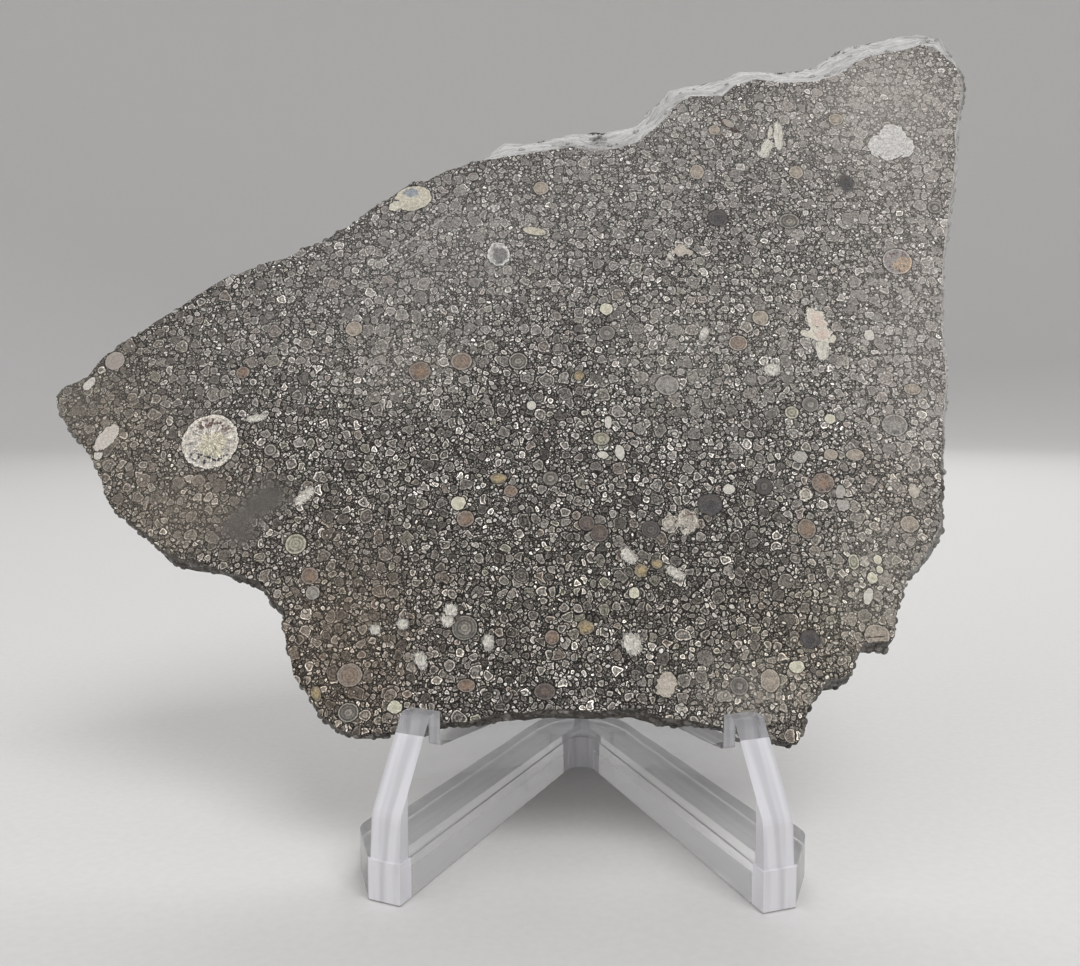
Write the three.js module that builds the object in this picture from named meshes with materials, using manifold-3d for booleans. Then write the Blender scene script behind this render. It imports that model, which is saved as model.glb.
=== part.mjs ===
// A thin sawn slice of a chondrite meteorite, leaning back in a clear one-piece display easel.
// Millimetres, +Z up, +Y away from the viewer. The origin is the middle of the bounding box's underside.
import * as THREE from 'three';
import { mergeVertices } from 'three/addons/utils/BufferGeometryUtils.js';
import Module from 'manifold-3d';

const wasm = await Module();
wasm.setup();

// Easel: two upright walls that meet at the back in a V, on a base flange.
const frontHalfGap = 20.2; // half the distance between the walls' inner faces at the front
const wallRun = 53.2; // length of a wall's inner face, from its front to the V's inner corner
const wallThickness = 3.8;
const flangeThickness = 4.6;
const flangeReach = 6.3; // how far the flange stands out beyond a wall's outer face
const flangeInset = 0.3; // how far its inner edge stands proud of a wall's inner face
const flangeInnerRadius = 2.2; // rounding of the flange's inner corner
const flangeCornerAlong = 7.4; // where its outer corner is, along the wall from its front
const flangeCornerRadius = 4;
const legHeight = 9.7; // the front edge is nearly upright as far as this, then leans back to the lip
const legLean = 0.8; // how far back it is there
const lipHeight = 19.5;
const lipStart = 7.3; // along the wall, from its front
const lipThickness = 2.3;
const ledgeHeight = 15.2; // height of the seat behind the lip
const ledgeEnd = 26.5; // along the wall, where the back support starts
const ledgeDrop = 1.5; // fall of the seat from the lip to the back support
const supportHeight = 57; // top of the back support
const supportTop = 4; // length of its top edge
const spineHeight = 41; // height of the V's closed corner

// Slab: its front face is in a plane that leans back from the two lips.
const slabThickness = 4.4;
const slabLean = THREE.MathUtils.degToRad(26);
const slabFoot = new THREE.Vector3(0, 11.29, 17.7); // the front plane's zero point, just behind the lips
const contactGap = 0.3;
const outlineStep = 1.9; // longest straight stretch along the slab's edge
const ringDepths = [0, 0.25, 1.4, 2.9, 4.15, 4.4]; // levels of the slab's edge, from the front face back

const wallAngle = Math.asin(frontHalfGap / wallRun); // between a wall and the plane of symmetry
const vDepth = wallRun * Math.cos(wallAngle);

// The front face's outline, clockwise from the left tip, as x, height up the slab and flare. Flare is how
// far the back face's edge stands out beyond the front face's edge there.
const slabOutline = [
  // left tip and the long upper left edge
  [-71.4, 42.6, 0.2], [-70.8, 43.9, 0.3], [-69, 44.8, 0.4], [-67.6, 45.5, 0.2], [-66.2, 48.1, 0],
  [-65.5, 49.1, -0.2], [-64.5, 49.5, -0.3], [-62.7, 51.6, 0.2], [-58.1, 55, 0.5], [-53.7, 58.6, 0.3],
  [-51, 60.7, 0], [-48, 62.1, -0.4], [-45.1, 63.5, -0.2], [-41.9, 64.4, 0.3], [-39.1, 66.3, 0.5],
  [-37.2, 66.8, 0.2], [-34.7, 69, -0.3], [-33.3, 69.7, -0.5], [-30.9, 72.2, 0], [-28.4, 74.1, 0.4],
  [-26.4, 75.7, 0.5], [-24.7, 77.2, 0.2], [-23, 77.2, -0.3], [-20.6, 78.6, 0], [-15.9, 80.6, 0.8],
  // upper right edge, where the stone's pale natural surface slopes out towards the back
  [-13.1, 81.1, 4.5], [-10.9, 81.6, 5.8], [-6.8, 82.2, 5.2], [-1.7, 83.1, 5.7], [1.3, 82.3, 6.8],
  [4.5, 82.6, 6.7], [8.1, 83.9, 6.4], [11.1, 86.8, 4.8], [14, 90.8, 4.6], [15.9, 92.1, 5.5],
  [20.6, 92.1, 6.5], [22.6, 94.1, 5], [25.4, 95.1, 5.5], [30.5, 94.4, 5.8], [34.7, 94.6, 6],
  [38.2, 96, 5.7], [40.7, 98.1, 5.6], [43.3, 99.3, 6.1], [47.2, 100.2, 6], [50.8, 101.3, 6.3],
  // upper right corner and the long right edge
  [52.6, 100.9, 6.1], [53.7, 99.5, 4.6], [55.4, 97.3, 3.4], [56, 95, 1.9], [55.6, 91.9, 1.3],
  [54.2, 86.1, 1.6], [53.5, 80.5, 1.6], [51.4, 71.4, 1.4], [50, 64.9, 1.3], [49.2, 60.1, 1.5],
  [48.4, 54.6, 1.7], [48.2, 50.6, 1.8], [48.2, 48, 1.7], [47.8, 43.9, 1.5], [47.4, 41.3, 1.4],
  [46.5, 36.2, 1.5], [45.9, 32.7, 1.6], [45.2, 26.1, 1.5], [44.8, 24.4, 1.1],
  // broken steps at the lower right
  [43.9, 22.7, 1], [42.6, 20.7, 0.7], [41.3, 19.1, 0.4], [40.1, 18.6, 0.5], [40.1, 17.2, 0.6],
  [39.4, 15.9, 0.4], [38.5, 13.9, 0.2], [37.9, 10.8, 0.4], [37.3, 9.9, 0.6], [35.5, 9.9, 0.5],
  [34, 9.6, 0.3], [33, 7.8, 0.2], [32.5, 6.3, 0.4], [31.1, 5.4, 0.6], [29.2, 5, 0.5],
  [28.3, 3.8, 0.2], [26.8, 1.7, 0], [26.4, 0.3, 0.2], [25.6, -1.7, 0.1], [25.3, -2.3, 0],
  // foot: the middle arches up a little between the two ledges
  [23.6, -2.1, -0.2], [21.5, -1.8, -0.4], [16, -0.5, -0.3], [12.3, 0.3, 0.1], [9.3, 0.5, 0.3],
  [6, 1.5, 0.4], [2, 1.1, 0.2], [-2.5, 1.3, 0.4], [-5.4, 1.1, 0.3], [-10.3, 0.6, 0.2],
  [-14, -0.3, -0.1], [-16.8, -0.5, -0.3], [-22.4, -1.6, -0.4], [-25.5, -2.2, -0.3], [-27.5, -1.9, 0],
  // lower left, with the step in under the long left point
  [-29.7, -1, 0.2], [-31.3, 0.3, 0.3], [-33.2, 2.9, 0.5], [-35.1, 4.9, 0.2], [-35.9, 7.8, -0.2],
  [-37, 11, 0], [-37.2, 13.3, 0.3], [-38.2, 14, 0.5], [-39.6, 15.7, 0.6], [-40.9, 16.9, 0.4],
  [-43.1, 17.6, 0], [-45.1, 18, -0.3], [-48.4, 19.1, -0.1], [-52, 20.1, 0.4], [-53.9, 21.1, 0.6],
  [-56.4, 23.4, 0.4], [-58.6, 24.6, 0], [-61.2, 26.6, -0.2], [-62.5, 28.9, 0.2], [-63.8, 31.7, 0.5],
  [-64.9, 33.3, 0.4], [-67.2, 36.3, 0.1], [-69.4, 38.4, -0.1], [-71, 41, 0],
];

const easelMaterial = new THREE.MeshStandardMaterial({
  color: 0xeef0f4, roughness: 0.08, metalness: 0, transparent: true, opacity: 0.4,
});
const slabMaterial = new THREE.MeshStandardMaterial({ color: 0x6b6862, roughness: 0.6, metalness: 0 });

function solidFrom(geometry) {
  const bare = geometry.index ? geometry.toNonIndexed() : geometry.clone();
  bare.deleteAttribute('normal');
  bare.deleteAttribute('uv');
  const merged = mergeVertices(bare, 1e-4);
  return new wasm.Manifold(new wasm.Mesh({
    numProp: 3,
    vertProperties: new Float32Array(merged.attributes.position.array),
    triVerts: new Uint32Array(merged.index.array),
  }));
}

function geometryFrom(solid) {
  const mesh = solid.getMesh();
  const geometry = new THREE.BufferGeometry();
  geometry.setAttribute('position', new THREE.BufferAttribute(mesh.vertProperties, 3));
  geometry.setIndex(new THREE.BufferAttribute(mesh.triVerts, 1));
  return geometry;
}

// A point on the floor plan of the right wall: along it from its front, and out from its inner face.
function onRightWall(along, out) {
  return new THREE.Vector2(
    frontHalfGap - along * Math.sin(wallAngle) + out * Math.cos(wallAngle),
    along * Math.cos(wallAngle) + out * Math.sin(wallAngle),
  );
}

function mirrored(points) {
  return points.map((point) => new THREE.Vector2(-point.x, point.y)).reverse();
}

function arcPoints(centre, radius, fromAngle, toAngle, count) {
  const points = [];
  for (let i = 0; i <= count; i += 1) {
    const angle = fromAngle + ((toAngle - fromAngle) * i) / count;
    points.push(new THREE.Vector2(centre.x + radius * Math.cos(angle), centre.y + radius * Math.sin(angle)));
  }
  return points;
}

// Replaces each corner of a closed outline by an arc of the radius given as the point's third number.
function roundedOutline(corners) {
  const points = [];
  corners.forEach(([x, y, radius], i) => {
    const corner = new THREE.Vector2(x, y);
    if (!radius) {
      points.push(corner);
      return;
    }
    const before = corners[(i + corners.length - 1) % corners.length];
    const after = corners[(i + 1) % corners.length];
    const toBefore = new THREE.Vector2(before[0] - x, before[1] - y).normalize();
    const toAfter = new THREE.Vector2(after[0] - x, after[1] - y).normalize();
    const halfAngle = Math.acos(toBefore.dot(toAfter)) / 2;
    const bisector = toBefore.clone().add(toAfter).normalize();
    const centre = corner.clone().addScaledVector(bisector, radius / Math.sin(halfAngle));
    const reach = radius / Math.tan(halfAngle);
    const start = corner.clone().addScaledVector(toBefore, reach).sub(centre).angle();
    const end = corner.clone().addScaledVector(toAfter, reach).sub(centre).angle();
    const turn = THREE.MathUtils.euclideanModulo(end - start + Math.PI, 2 * Math.PI) - Math.PI;
    points.push(...arcPoints(centre, radius, start, start + turn, Math.max(2, Math.ceil(Math.abs(turn) / 0.2))));
  });
  return points;
}

function flatExtrusion(outline, depth) {
  return new THREE.ExtrudeGeometry(new THREE.Shape(outline), { depth, bevelEnabled: false });
}

// The V of the two walls seen from above, rounded round the back of its corner. It runs past the walls'
// front faces, which the side profile cuts.
function wallPlan() {
  const rightSide = [onRightWall(-1, 0), onRightWall(-1, wallThickness)];
  const vCorner = new THREE.Vector2(0, vDepth);
  const back = arcPoints(vCorner, wallThickness, wallAngle, Math.PI - wallAngle, 10);
  return [...rightSide, ...back, ...mirrored(rightSide), vCorner];
}

// The base flange seen from above: a wide V with a rounded inner corner, outer corners and back.
function flangePlan() {
  const outer = wallThickness + flangeReach;
  const vCorner = new THREE.Vector2(0, vDepth);
  const innerReach = (flangeInset + flangeInnerRadius) / Math.sin(wallAngle);
  const innerCentre = new THREE.Vector2(0, vDepth - innerReach);
  const frontInner = onRightWall(0, -flangeInset);
  const frontOuter = onRightWall(0, wallThickness);
  const sideCorner = onRightWall(flangeCornerAlong, outer);
  const backTangent = onRightWall(wallRun, outer);
  const rightSide = roundedOutline([
    [innerCentre.x, innerCentre.y, 0],
    [frontInner.x, frontInner.y, 0],
    [frontOuter.x, frontOuter.y, 0],
    [sideCorner.x, sideCorner.y, flangeCornerRadius],
    [backTangent.x, backTangent.y, 0],
  ]).slice(1, -1);
  const back = arcPoints(vCorner, outer, wallAngle, Math.PI - wallAngle, 16);
  const inner = arcPoints(innerCentre, flangeInnerRadius, Math.PI - wallAngle, wallAngle, 10);
  return [...rightSide, ...back, ...mirrored(rightSide), ...inner];
}

// A wall seen from its side: distance along it, height, and the rounding of each corner.
function wallProfile() {
  const lipBack = lipStart + lipThickness;
  const spineAlong = wallRun + 2 * wallThickness;
  const supportAlong = slabBackAlong(supportHeight) + contactGap;
  return roundedOutline([
    [0, -1, 0],
    [spineAlong, -1, 0],
    [spineAlong, spineHeight, 0],
    [wallRun - 2, spineHeight, 6],
    [supportAlong + supportTop, supportHeight, 2.5],
    [supportAlong, supportHeight, 1],
    [ledgeEnd, ledgeHeight - ledgeDrop, 1.2],
    [lipBack, ledgeHeight, 0.4],
    [lipBack, lipHeight, 0.5],
    [lipStart, lipHeight, 0.7],
    [legLean, legHeight, 3],
  ]);
}

// Where the slab's back face crosses a wall at a given height, as a distance along the wall.
function slabBackAlong(height) {
  const backPlane = slabFoot.y + slabThickness / Math.cos(slabLean);
  return (backPlane + (height - slabFoot.z) * Math.tan(slabLean)) / Math.cos(wallAngle);
}

function buildEasel() {
  const plan = solidFrom(flatExtrusion(wallPlan(), supportHeight + 1));
  const sweepWidth = 3 * wallThickness;
  const rightProfile = flatExtrusion(wallProfile(), sweepWidth);
  // The profile is drawn as x = along, y = height; it is stood up and turned onto the right wall.
  const along = new THREE.Vector3(-Math.sin(wallAngle), Math.cos(wallAngle), 0);
  const out = new THREE.Vector3(Math.cos(wallAngle), Math.sin(wallAngle), 0);
  const placed = new THREE.Matrix4().makeBasis(along, new THREE.Vector3(0, 0, 1), out);
  const start = onRightWall(0, -wallThickness);
  placed.setPosition(start.x, start.y, 0);
  rightProfile.applyMatrix4(placed);
  const right = solidFrom(rightProfile);
  const left = right.mirror([1, 0, 0]);
  const walls = plan.intersect(right.add(left));
  const flange = solidFrom(flatExtrusion(flangePlan(), flangeThickness));
  return geometryFrom(walls.add(flange));
}

// Cuts each long stretch of the outline into shorter ones and roughens the new points a little.
function brokenOutline(outline) {
  const points = [];
  outline.forEach((from, i) => {
    const to = outline[(i + 1) % outline.length];
    const length = Math.hypot(to[0] - from[0], to[1] - from[1]);
    const parts = Math.max(1, Math.round(length / outlineStep));
    for (let k = 0; k < parts; k += 1) {
      const mix = k / parts;
      const rough = k === 0 ? 0 : 0.16 * unevenness(points.length * 1.7, 0);
      points.push({
        x: from[0] + (to[0] - from[0]) * mix + (rough * (from[1] - to[1])) / length,
        y: from[1] + (to[1] - from[1]) * mix + (rough * (to[0] - from[0])) / length,
        flare: from[2] + (to[2] - from[2]) * mix,
      });
    }
  });
  return points;
}

// A smooth irregular wave between -1 and 1.
function unevenness(position, level) {
  return (
    0.5 * Math.sin(position * 1.13 + level * 2.1)
    + 0.3 * Math.sin(position * 2.71 + level * 4.3 + 1.2)
    + 0.2 * Math.sin(position * 5.17 + level * 7.7 + 0.4)
  );
}

// The way out of the slab at each outline point, evened out over its neighbours.
function outwardWays(points) {
  const reach = 3;
  return points.map((_, i) => {
    const before = points[(i + points.length - reach) % points.length];
    const after = points[(i + reach) % points.length];
    return new THREE.Vector2(before.y - after.y, after.x - before.x).normalize();
  });
}

function buildSlab() {
  const outline = brokenOutline(slabOutline);
  const ways = outwardWays(outline);
  const count = outline.length;
  const roughness = 0.3;
  const rings = ringDepths.map((depth, level) => outline.map((point, i) => {
    const share = depth / slabThickness;
    const inner = Math.sin(Math.PI * share);
    const wave = roughness * inner * unevenness(i * 0.9, level);
    const ledges = point.flare > 3 ? 0.35 * Math.sin(level * 2.2 + i * 0.05) * inner : 0;
    const reach = point.flare * share + wave + ledges;
    return new THREE.Vector3(point.x + ways[i].x * reach, point.y + ways[i].y * reach, -depth);
  }));
  const positions = rings.flat().flatMap((point) => point.toArray());
  const faces = [];
  const faceOf = (ring) => ring.map((point) => new THREE.Vector2(point.x, point.y));
  const lastRing = (rings.length - 1) * count;
  THREE.ShapeUtils.triangulateShape(faceOf(rings[0]), []).forEach(([a, b, c]) => {
    faces.push(a, b, c);
  });
  THREE.ShapeUtils.triangulateShape(faceOf(rings[rings.length - 1]), []).forEach(([a, b, c]) => {
    faces.push(lastRing + a, lastRing + c, lastRing + b);
  });
  for (let level = 0; level + 1 < rings.length; level += 1) {
    for (let i = 0; i < count; i += 1) {
      const next = (i + 1) % count;
      const a = level * count + i;
      const b = level * count + next;
      faces.push(a, b, b + count, a, b + count, a + count);
    }
  }
  const geometry = new THREE.BufferGeometry();
  geometry.setAttribute('position', new THREE.Float32BufferAttribute(positions, 3));
  geometry.setIndex(faces);
  return geometry;
}

const easel = new THREE.Mesh(buildEasel(), easelMaterial);
easel.name = 'easel';

// The slab is drawn flat, its front face up, then stood up and leaned back.
const slab = new THREE.Mesh(buildSlab(), slabMaterial);
slab.name = 'meteorite_slab';
slab.position.copy(slabFoot);
slab.rotation.x = Math.PI / 2 - slabLean;

const display = new THREE.Group();
display.add(easel, slab);
display.updateMatrixWorld(true);
const box = new THREE.Box3().setFromObject(display, true);
display.position.set(-(box.min.x + box.max.x) / 2, -(box.min.y + box.max.y) / 2, -box.min.z);
display.updateMatrixWorld(true);

export default display;
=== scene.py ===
import math

import bmesh
import bpy
import numpy as np
from mathutils import Matrix, Vector, noise
from mathutils.geometry import delaunay_2d_cdt


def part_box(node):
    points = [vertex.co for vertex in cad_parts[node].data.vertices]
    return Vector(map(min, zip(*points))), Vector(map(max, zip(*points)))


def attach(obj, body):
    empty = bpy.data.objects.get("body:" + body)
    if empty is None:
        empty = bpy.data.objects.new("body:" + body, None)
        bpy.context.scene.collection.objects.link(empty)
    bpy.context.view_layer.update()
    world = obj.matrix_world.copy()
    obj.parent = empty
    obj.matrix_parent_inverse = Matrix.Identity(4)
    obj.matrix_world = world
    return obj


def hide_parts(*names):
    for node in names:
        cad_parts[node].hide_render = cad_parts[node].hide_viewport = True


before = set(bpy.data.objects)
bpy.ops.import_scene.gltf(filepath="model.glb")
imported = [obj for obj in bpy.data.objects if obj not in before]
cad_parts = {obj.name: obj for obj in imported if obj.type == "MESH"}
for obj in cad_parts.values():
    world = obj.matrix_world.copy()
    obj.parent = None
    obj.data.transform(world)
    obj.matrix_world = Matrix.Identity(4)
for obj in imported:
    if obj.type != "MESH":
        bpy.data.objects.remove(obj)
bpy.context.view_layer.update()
mm = 0.001
print("frame loaded:", sorted(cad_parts))

# Camera and room

camera = {
    "place": (6.7, -144.9, 57.0),  # mm
    "turn": 2.3,  # degrees to the left of straight ahead
    "dip": 5.0,  # degrees below the horizon
    "lens": 35.83,
    "sensor": 36.0,
}
room = {
    "floorRadius": 1.0,  # metres; past it the floor sweeps up all round as a plain backdrop
    "sweepRadius": 0.55,
    "wallHeight": 1.3,
    "around": 96,  # faces round the floor
    "airGap": 0.2,  # mm of air under the easel
    "floorTone": (228, 227, 225),
    "fibreScale": 900.0,  # the floor's faint fibres, and how dark they are
    "fibreShade": 0.97,
    "skyTone": (168, 168, 171),
    "skyStrength": 0.95,
    "lightBounces": 32,  # light runs a long way between the walls of thick clear acrylic
    "lampTarget": (0, 0, 0.05),  # metres, as the lamps' places are
}
lamps = {
    "key": {"place": (0.30, -0.55, 0.85), "size": 0.55, "power": 4.6},
    "fill": {"place": (-0.70, -0.60, 0.45), "size": 0.80, "power": 2.0},
    "back": {"place": (0.15, 0.70, 0.70), "size": 0.60, "power": 3.2},
}


def linear(value):
    return value / 12.92 if value <= 0.04045 else ((value + 0.055) / 1.055) ** 2.4


def paint(red, green, blue, alpha=1.0):
    return (linear(red / 255), linear(green / 255), linear(blue / 255), alpha)


def showObject(name, data):
    made = bpy.data.objects.new(name, data)
    bpy.context.scene.collection.objects.link(made)
    return made


def feed(tree, node, inputs):
    for name, value in dict(inputs).items():
        if isinstance(value, bpy.types.NodeSocket):
            tree.links.new(value, node.inputs[name])
        else:
            node.inputs[name].default_value = value


def addNode(tree, kind, inputs=(), **settings):
    made = tree.nodes.new(kind)
    for name, value in settings.items():
        setattr(made, name, value)
    feed(tree, made, inputs)
    return made


def number(tree, operation, *values):
    return addNode(tree, "ShaderNodeMath", enumerate(values), operation=operation).outputs[0]


def times(tree, first, second, plus=None):
    if plus is None:
        return number(tree, "MULTIPLY", first, second)
    return number(tree, "MULTIPLY_ADD", first, second, plus)


def minus(tree, first, second):
    return number(tree, "SUBTRACT", first, second)


def vector(tree, operation, *values):
    values = {0: values[0], "Scale": values[1]} if operation == "SCALE" else enumerate(values)
    made = addNode(tree, "ShaderNodeVectorMath", values, operation=operation)
    return made.outputs[1 if operation in ("LENGTH", "DOT_PRODUCT") else 0]


def attribute(tree, name):
    return addNode(tree, "ShaderNodeAttribute", attribute_name=name).outputs


def parts(tree, value, kind="XYZ"):
    return addNode(tree, "ShaderNodeSeparate" + kind, {0: value}).outputs


def combined(tree, *values):
    return addNode(tree, "ShaderNodeCombineXYZ", enumerate(values)).outputs[0]


def blend(tree, share, under, over, how="MIX"):
    made = addNode(
        tree, "ShaderNodeMix", {0: share, 6: under, 7: over},
        data_type="RGBA", blend_type=how, clamp_factor=True,
    )
    return made.outputs[2]


def smooth(tree, value, start, end, low=0.0, high=1.0):
    inputs = {"Value": value, "From Min": start, "From Max": end, "To Min": low, "To Max": high}
    made = addNode(tree, "ShaderNodeMapRange", inputs, interpolation_type="SMOOTHSTEP")
    return made.outputs[0]


def ramp(tree, value, stops, how="LINEAR"):
    made = addNode(tree, "ShaderNodeValToRGB", {"Fac": value})
    made.color_ramp.interpolation = how
    marks = made.color_ramp.elements
    while len(marks) < len(stops):
        marks.new(1.0)
    for mark, (position, colour) in zip(marks, stops):
        mark.position = position
        mark.color = colour
    return made.outputs[0]


def cloud(tree, place, scale, detail=0.0, output=0, dimensions="2D", roughness=0.5):
    inputs = {"Vector": place, "Scale": scale, "Detail": detail, "Roughness": roughness}
    return addNode(tree, "ShaderNodeTexNoise", inputs, noise_dimensions=dimensions).outputs[output]


def cells(tree, place, feature="F1", dimensions="2D", randomness=0.9):
    inputs = {"Vector": place, "Scale": 1.0, "Randomness": randomness}
    settings = {"feature": feature, "voronoi_dimensions": dimensions}
    return addNode(tree, "ShaderNodeTexVoronoi", inputs, **settings)


def bumped(tree, strength, distance, height):
    inputs = {"Strength": strength, "Distance": distance, "Height": height}
    return addNode(tree, "ShaderNodeBump", inputs).outputs[0]


def tones(*stops):
    return [(position, paint(*colour)) for position, *colour in stops]


def newMaterial(name):
    material = bpy.data.materials.new(name)
    material.use_nodes = True
    return material, material.node_tree, material.node_tree.nodes["Principled BSDF"]


def makeCamera():
    data = bpy.data.cameras.new("camera")
    data.lens = camera["lens"]
    data.sensor_fit = "HORIZONTAL"
    data.sensor_width = camera["sensor"]
    data.clip_start = 0.01
    made = showObject("camera", data)
    made.location = Vector(camera["place"]) * mm
    made.rotation_euler = (math.radians(90 - camera["dip"]), 0, math.radians(camera["turn"]))
    bpy.context.scene.camera = made


def makeRoom():
    flat, sweep, top = room["floorRadius"], room["sweepRadius"], room["wallHeight"]
    bend = [math.radians(angle) for angle in range(0, 91, 9)]
    profile = [(flat + sweep * math.sin(a), sweep * (1 - math.cos(a))) for a in bend]
    profile.append((flat + sweep, top))
    bm = bmesh.new()
    around = room["around"]
    turns = [2 * math.pi * k / around for k in range(around)]
    rings = [[bm.verts.new((r * math.cos(a), r * math.sin(a), z)) for a in turns] for r, z in profile]
    bm.faces.new(rings[0])
    for lower, upper in zip(rings, rings[1:]):
        for k in range(around):
            bm.faces.new((lower[k], upper[k], upper[(k + 1) % around], lower[(k + 1) % around]))
    for face in bm.faces:
        face.smooth = True
    data = bpy.data.meshes.new("floor")
    bm.to_mesh(data)
    bm.free()
    floor = showObject("floor", data)
    floor.location.z = -room["airGap"] * mm
    material, tree, shader = newMaterial("palePaper")
    place = addNode(tree, "ShaderNodeTexCoord").outputs["Object"]
    fibre = cloud(tree, place, room["fibreScale"], 2.0, dimensions="3D")
    tone = paint(*room["floorTone"])
    darker = tuple(part * room["fibreShade"] for part in tone[:3]) + (1.0,)
    colour = ramp(tree, fibre, [(0.35, darker), (0.65, tone)])
    feed(tree, shader, {"Base Color": colour, "Roughness": 0.8})
    data.materials.append(material)

    world = bpy.data.worlds.new("softSky")
    world.use_nodes = True
    sky = world.node_tree.nodes["Background"]
    feed(world.node_tree, sky, {"Color": paint(*room["skyTone"]), "Strength": room["skyStrength"]})
    bpy.context.scene.world = world

    target = Vector(room["lampTarget"])
    for name, lamp in lamps.items():
        light = bpy.data.lights.new(name, "AREA")
        light.size = lamp["size"]
        light.energy = lamp["power"]
        made = showObject(name, light)
        made.location = lamp["place"]
        made.rotation_euler = (target - made.location).to_track_quat("-Z", "Y").to_euler()
    view = bpy.context.scene.view_settings
    view.view_transform = "Standard"
    paths = bpy.context.scene.cycles
    paths.max_bounces = room["lightBounces"]
    paths.transmission_bounces = room["lightBounces"]


makeCamera()
makeRoom()
print("camera, floor and lamps are in place")

# The slice: two sawn faces and the stone's natural edge between them

slab = {
    "lean": 26.0,  # degrees back from upright
    "thickness": 4.4,  # mm, as the other lengths are
    "footBehindEasel": 11.4,  # the front face's foot, behind the easel's front
    "footHeight": 17.7,
    "edgeCuts": 2,  # how often each edge of the solid's rim is cut
    "edgeRoughness": 0.24,
    "edgeWaves": (0.55, 2.1),  # broad and fine waves for each mm of the natural edge
    "outlineRoughness": 0.15,
    "outlineWaves": 0.9,
    "faceGrid": 0.9,  # spacing of the points on a sawn face
    "jitter": 0.2,  # in spacings, as the next is
    "borderGap": 0.55,  # how near to the outline a point may lie
    "faceSeed": 40,
    "bareEdge": 0.08,  # how pale the natural edge is where it has no crust
    "grainReach": 1.6,  # how far round a grain the faces know of it
    "backShift": 200.0,  # sets the back's pattern apart from the front's
}


def slabToRow():
    low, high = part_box("easel")
    lean = math.radians(slab["lean"])
    foot = Vector(((low.x + high.x) / 2, low.y + slab["footBehindEasel"] * mm, slab["footHeight"] * mm))
    across = Vector((1, 0, 0))
    upward = Vector((0, math.sin(lean), math.cos(lean)))
    outward = Vector((0, -math.cos(lean), math.sin(lean)))
    turn = Matrix((across, upward, outward)).transposed().to_4x4()
    return Matrix.Translation(foot) @ turn @ Matrix.Scale(mm, 4)


rowFromSlab = slabToRow()
slabFromRow = rowFromSlab.inverted()

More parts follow.
